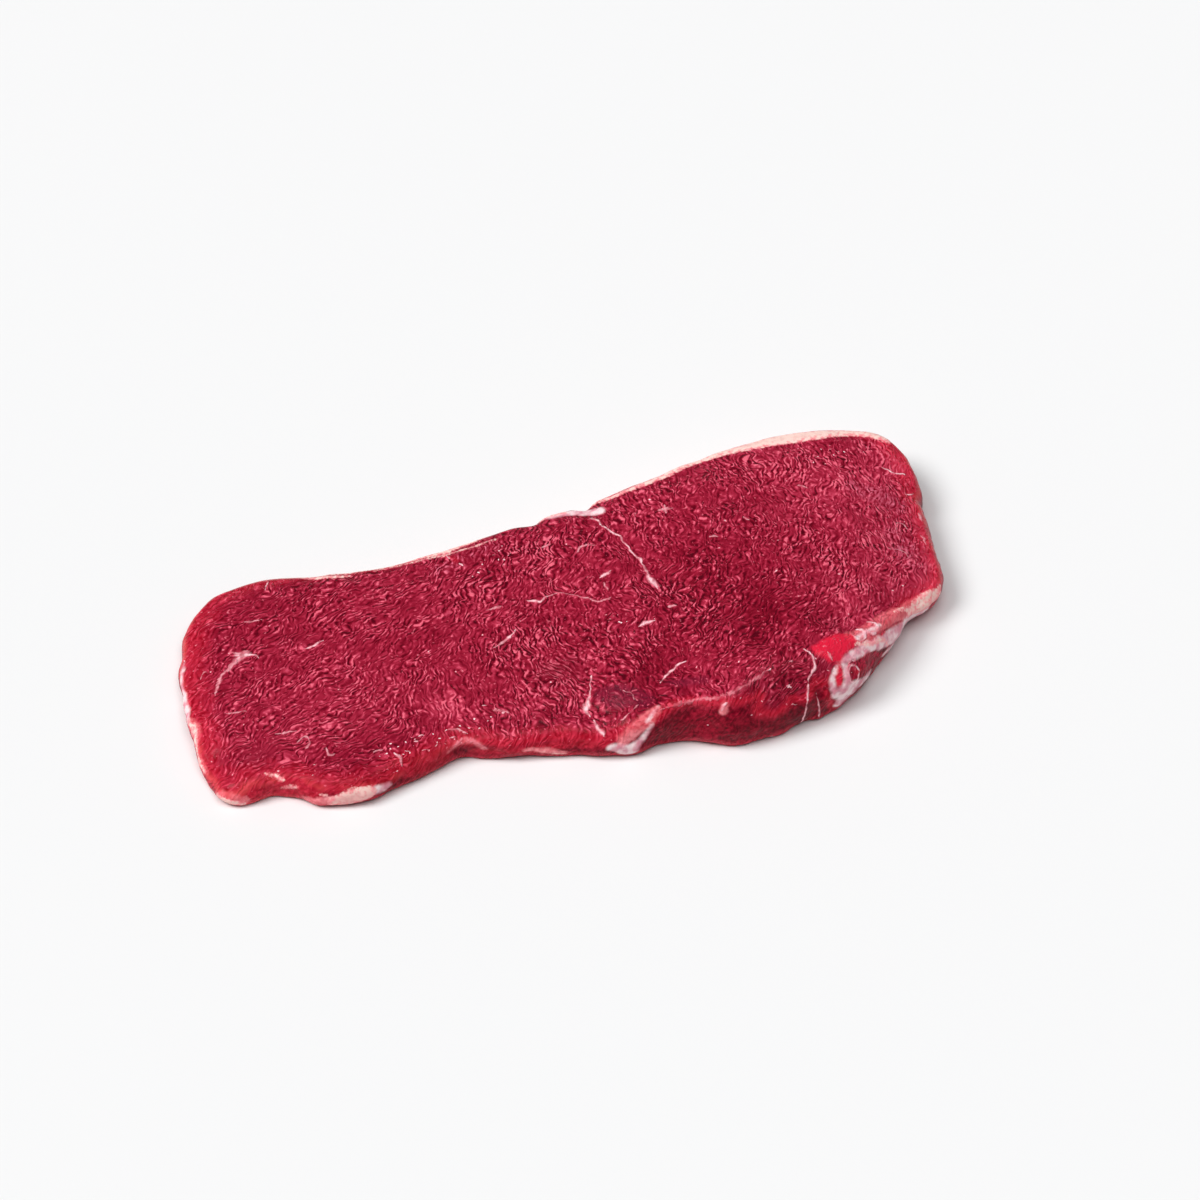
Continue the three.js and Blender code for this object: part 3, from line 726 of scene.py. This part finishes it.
class Shader:
    """One material, and the nodes that feed its surface."""

    def __init__(self, name):
        self.material = bpy.data.materials.new(name)
        self.material.use_nodes = True
        self.tree = self.material.node_tree
        self.surface = self.tree.nodes["Principled BSDF"]

    def node(self, kind, settings=None, sockets=None, output=0):
        made = self.tree.nodes.new(kind)
        for name, value in (settings or {}).items():
            setattr(made, name, value)
        for name, value in (sockets or {}).items():
            self.feed(made.inputs[name], value)
        if isinstance(output, tuple):
            return [Value(self, made.outputs[name]) for name in output]
        return Value(self, made.outputs[output])

    def feed(self, socket, value):
        if isinstance(value, Value):
            self.tree.links.new(value.socket, socket)
        else:
            socket.default_value = value

    def ramp(self, factor, stops):
        """A colour that runs through the stops, each a place and a colour."""
        made = self.node("ShaderNodeValToRGB", {}, {0: factor})
        elements = made.socket.node.color_ramp.elements
        while len(elements) < len(stops):
            elements.new(0.5)
        for element, (place, colour) in zip(elements, stops):
            element.position = place
            element.color = colour
        return made

    def attribute(self, name, output="Fac"):
        return self.node("ShaderNodeAttribute", {"attribute_name": name}, output=output)

    def part(self, vector, axis):
        return self.node("ShaderNodeSeparateXYZ", {}, {0: vector}, output=axis)

    def vector_math(self, operation, *vectors):
        return self.node("ShaderNodeVectorMath", {"operation": operation}, dict(enumerate(vectors)))

    def shifted(self, vector, other, amount):
        """vector, moved by up to amount by the noise colour other."""
        centred = self.vector_math("SUBTRACT", other, (0.5,) * 3)
        return self.vector_math("MULTIPLY_ADD", centred, (amount,) * 3, vector)

    def patch(self, name, raggedness, low, high):
        """1 well inside the marks of an attribute, with a ragged edge."""
        return (self.attribute(name) + raggedness).rise(low, high)

    def noise(self, vector, scale, detail=1.0, output="Fac"):
        sockets = {"Vector": vector, "Scale": scale, "Detail": detail}
        return self.node("ShaderNodeTexNoise", {}, sockets, output)

    def grain(self, along, across, size, seed):
        """Noise whose bumps have this size along and across the fibres."""
        cell = {0: along / size[0], 1: across / size[1], 2: seed}
        return self.noise(self.node("ShaderNodeCombineXYZ", {}, cell), 1.0, 0.0)

    def mix(self, factor, first, second):
        """A colour between two others."""
        sockets = {0: factor, 6: first, 7: second}
        return self.node("ShaderNodeMix", {"data_type": "RGBA"}, sockets, output=2)

    def blend(self, factor, first, second):
        """A number between two others."""
        return self.node("ShaderNodeMix", {}, {0: factor, 2: first, 3: second})


BUMP_DEPTH = 0.00021  # of the relief finer than the mesh, in metres
MEAT_SURFACE = {
    "Coat Roughness": 0.2,
    "Specular IOR Level": 0.06,
    "Subsurface Weight": 0.06,
    "Subsurface Radius": (1.0, 0.3, 0.25),
    "Subsurface Scale": 0.0012,
}


def meat_material(colours):
    """Wet raw meat with its fat, silverskin and threads."""
    shader = Shader("raw meat")
    coordinates = shader.node("ShaderNodeTexCoord", output="Object")
    place = shader.vector_math("MULTIPLY", coordinates, (1 / MM,) * 3)
    mix, attribute = shader.mix, shader.attribute
    rim = attribute("rim")
    side = 1 - attribute("side").rise(-3.5, -0.5)

    # Fibre bundles, cut across or at a slant: fine curling ripples with dark gaps and pale beads.
    # The darkest and palest colours are partly painted shade in the gaps and painted highlights on the
    # wet strands.
    bend = shader.noise(place, 0.13, output="Color")
    curl = shader.noise(place, 0.5, output="Color")
    bent = shader.shifted(shader.shifted(place, bend, 5.0), curl, 1.2)
    strands, beads, lengths = fibre_pattern(shader, bent, attribute("lie"))
    broad = shader.noise(place, 0.12) - 0.5
    patches = shader.noise(place, 0.16, 2.0)
    busy = attribute("busy").rise(-5.0, 4.0)
    swells = shader.noise(bent, 0.33, 0.0) - 0.5
    open_gaps = 1 - abs(swells).rise(0.0, 0.05)
    strength = shader.noise(place, 0.1, 1.5).rise(0.36, 0.64) * 0.5 + 0.55 + busy * 0.25
    strength = strength * (rim.rise(0.2, 1.6) * 0.2 + 0.8) * (1 - side * 0.5)
    grit = (shader.noise(place, 0.75, 2.0) - 0.5) * side

    glow = (beads + lengths * 0.4).rise(0.08, 0.36)
    cut_across = shader.part(place, 0).rise(-75.0, -10.0)
    worms = 0.26 - abs(shader.noise(bent, 0.66, 0.0) - 0.5) * 2.2
    tone = strands * (busy * 0.3 + 0.8) + beads + worms * (cut_across * 0.3 + 0.1)
    tone = tone + glow * 0.22 + swells * 0.2 - open_gaps * (busy * 0.15 + 0.03)
    tone = strength * tone + grit * 1.2 + attribute("tone") + 0.47 + broad * 0.22
    stops = [
        (0.0, colours.gap), (0.2, colours.shade), (0.38, colours.deep), (0.55, colours.muscle),
        (0.72, colours.strand), (0.88, colours.pale), (1.0, colours.bright),
    ]
    colour = shader.ramp(tone, stops)
    # Painted shade: the hollows under the SHADE marks are darkened toward the shadow colour.
    shadow = attribute("shade").rise(-7.0, 4.0)
    colour = mix(shadow * 0.42, colour, colours.shadow)

    # The sides and the smooth red skin along the rim keep some of the pattern. The sides take
    # darker copies of the muscle's colours, which are painted shade.
    relit = tone.rise(0.1, 1.0)
    shaded_side_colour = mix(relit, colours.side, colours.shaded_side_pale)
    rim_colour = mix(relit, colours.rim, colours.rim_pale)
    ragged = rim + (patches - 0.5) * 1.3 + beads * 0.9
    skin = (1 - ragged.rise(-0.1, 1.8)) * (1 - side * 0.85)
    # The RED marks lay the rim colour over the sides' painted shade: painted light on the near side.
    red = shader.patch("red", (patches - 0.5) * 3.0, -1.5, 1.5)
    colour = mix(side * 0.8, colour, shaded_side_colour)
    colour = mix(skin.at_least(red) * 0.85, colour, rim_colour)
    # Painted light: the thin rim is painted paler where light shines through it.
    edge = 1 - abs(attribute("side") + (patches - 0.5) * 1.6).rise(0.2, 2.4)
    edge = edge * attribute("edge") * shader.noise(place, 0.2).rise(0.3, 0.6)
    colour = mix(edge * 0.7, colour, colours.edge)

    # Pink tissue, the purple muscle, the gaps in the silverskin and the blood.
    wobble = (shader.noise(place, 0.5, 2.0) - 0.5) * 2.4
    pink = shader.patch("pink", wobble * 0.8, -0.8, 0.6)
    veil = shader.noise(place, 0.6, 2.5).rise(0.36, 0.64)
    # Partly painted light: on the sides the pink is paler and stronger, against their dimmer light; the
    # veil mottles it at random.
    stained = (side * 0.7 + veil * 0.4).at_most(1.0)
    pink_colour = mix(stained, colours.pink, colours.pink_fat)
    colour = mix(pink * (0.5 + side * 0.25 + veil * 0.25), colour, pink_colour)
    dark = shader.patch("dark", wobble * 0.5, -1.2, 1.0)
    colour = mix(dark * 0.5, colour, colours.purple)
    # Partly painted shade: the window's red is darkened toward the shadow colour.
    window = shader.patch("window", wobble * 0.15, -0.35, 0.25)
    colour = mix(window * 0.9, colour, mix(relit, colours.shadow, colours.window))
    wet = shader.patch("wet", wobble * 0.6, -0.8, 0.8)
    # Partly painted highlights: the blood is mottled with paler specks where the wet pocket shines.
    wet_colour = mix(beads.rise(0.05, 0.3), colours.blood, colours.rim_pale)
    colour = mix(wet * 0.85, colour, wet_colour)

    # Painted sheen: a milky wet sheen painted onto the paler strands.
    painted_sheen = attribute("sheen").rise(-3.0, 2.0) * shader.noise(place, 0.45, 2.0).rise(0.3, 0.62)
    colour = mix(painted_sheen * tone.rise(0.4, 0.9) * 0.4, colour, colours.painted_sheen)

    # Threads, which come and go along their length.
    # The threads include the painted glints and the painted highlights along the crest and the arch.
    lines = attribute("threads", "Vector")
    across, apart, brightness = (shader.part(lines, axis) for axis in range(3))
    beside = abs(across) + (beads * 2.2 + swells * 1.4) * (1.25 - brightness)
    thread = (1 - beside.rise(0.4, 1.2)) * (1 - apart.rise(1.1, 1.8))
    fleck = shader.noise(place, 0.45).rise(0.34, 0.6)
    white = (brightness * (fleck * 0.55 + 0.6)).at_most(1.0)
    core = 1 - beside.rise(-0.1, 1.0) * 0.7
    thread_colour = mix(white * core, colours.bright, colours.thread)
    colour = mix(thread * (white * 0.55 + 0.25 + fleck * 0.2), colour, thread_colour)

    # Specks of wet light.
    wetness = attribute("sparkle").rise(-3.0, 2.0)
    speck = shader.noise(shader.shifted(place, curl, 1.0), 1.0, 0.0)
    faint = speck.rise(0.72, 0.82) * 0.6
    colour = mix(faint * (1 - side), colour, colours.bright)
    white_speck = (speck + wetness * 0.13).rise(0.86, 0.92) * beads.rise(-0.12, 0.04)
    colour = mix(white_speck, colour, colours.white)

    # Silverskin and fat over the rest.
    torn = (shader.noise(place, 0.3, 2.5) - 0.5) * 3.0
    silver = shader.patch("membrane", torn * 0.5, -0.6, 0.8) * (1 - window)
    grain = shader.noise(place, 1.4).rise(0.3, 0.7) - 0.5
    milky = shader.noise(place, 0.3, 2.0).rise(0.32, 0.66)
    silver_colour = mix(milky, colours.silver, colours.white)
    colour = mix(silver * (milky * 0.3 + 0.65), colour, silver_colour)
    fat_depth = attribute("fat") + torn * 0.35 + grain * 0.4
    fat = fat_depth.rise(-0.4, 0.5)
    creamy = (fat_depth * 0.5 + (veil - 0.5) * 0.9 + grain * 0.35).rise(-0.4, 1.0)
    fat_colour = mix(creamy * (1 - side * 0.4), colours.pink_fat, colours.fat)
    colour = mix(fat * (0.85 + veil * 0.15), colour, fat_colour)
    shader.feed(shader.surface.inputs["Base Color"], colour)

    # Wet shine, broken up by the strands.
    rough = 0.34 + (patches - 0.5) * 0.3 + beads * 0.25
    rough = shader.blend(wet, rough, 0.16)
    rough = shader.blend(fat, rough, 0.42)
    shader.feed(shader.surface.inputs["Roughness"], rough.at_least(0.1))
    shader.feed(shader.surface.inputs["Coat Weight"], (1 - side) * 0.06 + wet * 0.3)
    for name, value in MEAT_SURFACE.items():
        shader.surface.inputs[name].default_value = value

    # Relief finer than the mesh.
    muscle = (1 - fat) * (1 - silver * 0.7) * strength
    cut = strands * 0.8 + beads * 1.2 + worms * (cut_across * 0.8 + 0.2)
    height = muscle * (cut - open_gaps * (busy * 0.5 + 0.1)) + thread * 0.8 + grit * 0.8
    height = height + (shader.noise(place, 1.3, 2.0) - 0.5) * 0.25
    sockets = {"Strength": 1.0, "Distance": BUMP_DEPTH, "Height": height}
    normal = shader.node("ShaderNodeBump", {}, sockets)
    shader.feed(shader.surface.inputs["Normal"], normal)
    return shader.material


def fibre_pattern(shader, bent, lie):
    """Strands and beads that follow the fibres, bundle by bundle, and how they come and go."""
    sockets = {"Vector": bent, "Scale": 1 / BUNDLE_SIZE}
    middle, mark = shader.node("ShaderNodeTexVoronoi", {}, sockets, output=("Position", "Color"))
    offset = shader.vector_math("SUBTRACT", bent, middle)
    angle = lie + (shader.part(mark, 0) - 0.5) * BUNDLE_TURN
    cosine = angle.math("COSINE")
    sine = angle.math("SINE")
    x, y, z = (shader.part(offset, axis) for axis in range(3))
    across = y * cosine - x * sine + z * RIPPLE_LEAN
    along = x * cosine + y * sine
    seed = shader.part(mark, 1) * 30.0
    wander = (shader.grain(along, across, WANDER_SIZE, seed) - 0.5) * RIPPLE_WANDER
    lengths = shader.grain(along, across, LENGTH_SIZE, seed + 3.0)
    ripple = abs((across * (math.pi / RIPPLE_WIDTH) + wander).math("SINE")) - 0.62
    folds = 0.3 - abs(shader.grain(along, across, FOLD_SIZE, seed + 11.0) - 0.5) * 2.4
    strands = ripple * (lengths.rise(0.32, 0.64) * 0.8 + 0.25) + folds * 0.3
    beads = shader.grain(along, across, BEAD_SIZE, seed + 7.0) - 0.5
    return strands, beads, lengths - 0.5


class STEAK_OT_build_meat(bpy.types.Operator):
    """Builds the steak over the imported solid"""

    bl_idname = "steak.build_meat"
    bl_label = "Steak"

    def execute(self, context):
        look = context.scene.steak_look
        piece = finer_copy(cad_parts[NODE], "sirloin_steak", look.levels)
        mesh = piece.data
        skin = Skin(mesh)
        rim = skin.rim_field()
        fields = {name: skin.area_field(marks) for name, marks in AREAS.items()}
        fields["tone"] = skin.soft_spots(TONES)
        beads = [
            (side, [(first, second, width), (first + SPOT_LENGTH, second, width)])
            for side, first, second, width in SPOTS
        ]
        fields["threads"] = skin.line_field([
            (CREST_HIGHLIGHT_WHITE, CREST_HIGHLIGHTS), (STREAK_WHITE, STREAKS), (TENDON_WHITE, TENDONS),
            (GLINT_WHITE, GLINTS + beads),
        ])
        height = relief(skin, fields, rim, look)
        points = skin.points + skin.normals * height[:, None]
        under = skin.points[:, 2] < FOOT_HEIGHT
        points[under] = skin.points[under]
        points[:, 2] = np.maximum(points[:, 2], 0)
        mesh.vertices.foreach_set("co", (points * MM).ravel())
        for name, values in fields.items():
            store(mesh, name, values)
        red_width = skin.across_halves(RED_RIM)
        store(mesh, "rim", rim / red_width)
        store(mesh, "side", rim)
        store(mesh, "edge", smooth_step(*THIN_RIM, red_width))
        store(mesh, "lie", np.radians(skin.across_halves(FIBRE_LIE)))
        mesh.shade_smooth()
        mesh.materials.clear()
        mesh.materials.append(meat_material(context.scene.meat_colours))
        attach(piece, "root")
        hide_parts(NODE)
        return {"FINISHED"}


# ---- The stage ----

# The way that each light shines, and how many degrees wide its disc is.
KEY_LIGHT = ((0.7, -0.1, -0.9), 30)
FILL_LIGHT = ((0, 0.25, -1), 50)
SKY_COLOUR = linear(244, 246, 250)
FLOOR_PATCH_COLOUR = linear(226, 226, 228)


class StageLook(bpy.types.PropertyGroup):
    """The floor, the lights and the camera."""

    floor_size: length("Floor", "Width of the floor", 12.0)
    floor_colour: tint("Floor colour", "The plain pale floor", (236, 236, 236))
    elevation: FloatProperty(
        name="Elevation", description="How far the camera looks down", default=math.radians(45),
        subtype="ANGLE",
    )
    turn: FloatProperty(
        name="Turn", description="How far the camera stands to the steak's left", subtype="ANGLE",
        default=math.radians(20),
    )
    distance: length("Distance", "From the camera to what it looks at", 1.8667)
    lens: FloatProperty(
        name="Lens", description="The camera's focal length", default=175, unit="CAMERA"
    )
    aim: FloatVectorProperty(
        name="Aim", description="The point on the floor that the camera looks at",
        default=(0.0149, 0.0197, 0), unit="LENGTH",
    )
    key_strength: FloatProperty(
        name="Key light", description="Strength of the light from the left", default=2.3
    )
    fill_strength: FloatProperty(
        name="Fill light", description="Strength of the light from above", default=1.5
    )
    sky: FloatProperty(name="Sky", description="Strength of the light from all round", default=0.12)


def soft_light(name, direction, spread, strength):
    """A distant light that shines along direction from a disc spread degrees wide."""
    lamp = bpy.data.lights.new(name, "SUN")
    lamp.angle = math.radians(spread)
    lamp.energy = strength
    turn = Vector(direction).to_track_quat("-Z", "Y")
    add_object(name, lamp).rotation_euler = turn.to_euler()


class STEAK_OT_build_stage(bpy.types.Operator):
    """Builds the floor, the lights and the camera"""

    bl_idname = "steak.build_stage"
    bl_label = "Stage"

    def execute(self, context):
        scene = context.scene
        look = scene.stage_look
        shape = bmesh.new()
        bmesh.ops.create_grid(shape, x_segments=1, y_segments=1, size=look.floor_size / 2)
        mesh = bpy.data.meshes.new("floor")
        shape.to_mesh(mesh)
        shape.free()
        floor = add_object("floor", mesh)
        paint = Shader("pale floor")
        speckle = paint.noise(paint.node("ShaderNodeTexCoord", output="Object"), 3.0)
        shade = paint.mix(speckle.rise(0.3, 0.7) * 0.04, look.floor_colour, FLOOR_PATCH_COLOUR)
        paint.feed(paint.surface.inputs["Base Color"], shade)
        paint.surface.inputs["Roughness"].default_value = 0.7
        mesh.materials.append(paint.material)

        soft_light("key", *KEY_LIGHT, look.key_strength)
        soft_light("fill", *FILL_LIGHT, look.fill_strength)
        world = bpy.data.worlds.new("studio")
        world.use_nodes = True
        background = world.node_tree.nodes["Background"]
        background.inputs["Color"].default_value = SKY_COLOUR
        background.inputs["Strength"].default_value = look.sky
        scene.world = world
        scene.view_settings.view_transform = "Standard"

        camera = add_object("camera", bpy.data.cameras.new("camera"))
        camera.data.lens = look.lens
        back = Vector((0, -math.cos(look.elevation), math.sin(look.elevation)))
        back.rotate(Matrix.Rotation(-look.turn, 3, "Z"))
        camera.location = Vector(look.aim) + back * look.distance
        camera.rotation_euler = (-back).to_track_quat("-Z", "Y").to_euler()
        scene.camera = camera
        return {"FINISHED"}


class STEAK_PT_panel(bpy.types.Panel):
    """The steak's sizes and colours, and the buttons that build it"""

    bl_label = "Raw Sirloin Steak"
    bl_idname = "STEAK_PT_panel"
    bl_space_type = "VIEW_3D"
    bl_region_type = "UI"
    bl_category = "Steak"

    def draw(self, context):
        layout = self.layout
        for operator, group in (
            (STEAK_OT_build_meat, context.scene.steak_look),
            (STEAK_OT_build_meat, context.scene.meat_colours),
            (STEAK_OT_build_stage, context.scene.stage_look),
        ):
            box = layout.box()
            for name in group.__annotations__:
                box.prop(group, name)
            box.operator(operator.bl_idname)


CLASSES = (
    SteakLook, MeatColours, StageLook, STEAK_OT_build_meat, STEAK_OT_build_stage, STEAK_PT_panel
)


def register():
    for item in CLASSES:
        bpy.utils.register_class(item)
    bpy.types.Scene.steak_look = PointerProperty(type=SteakLook)
    bpy.types.Scene.meat_colours = PointerProperty(type=MeatColours)
    bpy.types.Scene.stage_look = PointerProperty(type=StageLook)


def unregister():
    del bpy.types.Scene.stage_look
    del bpy.types.Scene.meat_colours
    del bpy.types.Scene.steak_look
    for item in reversed(CLASSES):
        bpy.utils.unregister_class(item)


def main():
    register()
    bpy.ops.steak.build_meat()
    bpy.ops.steak.build_stage()


if __name__ == "__main__":
    main()
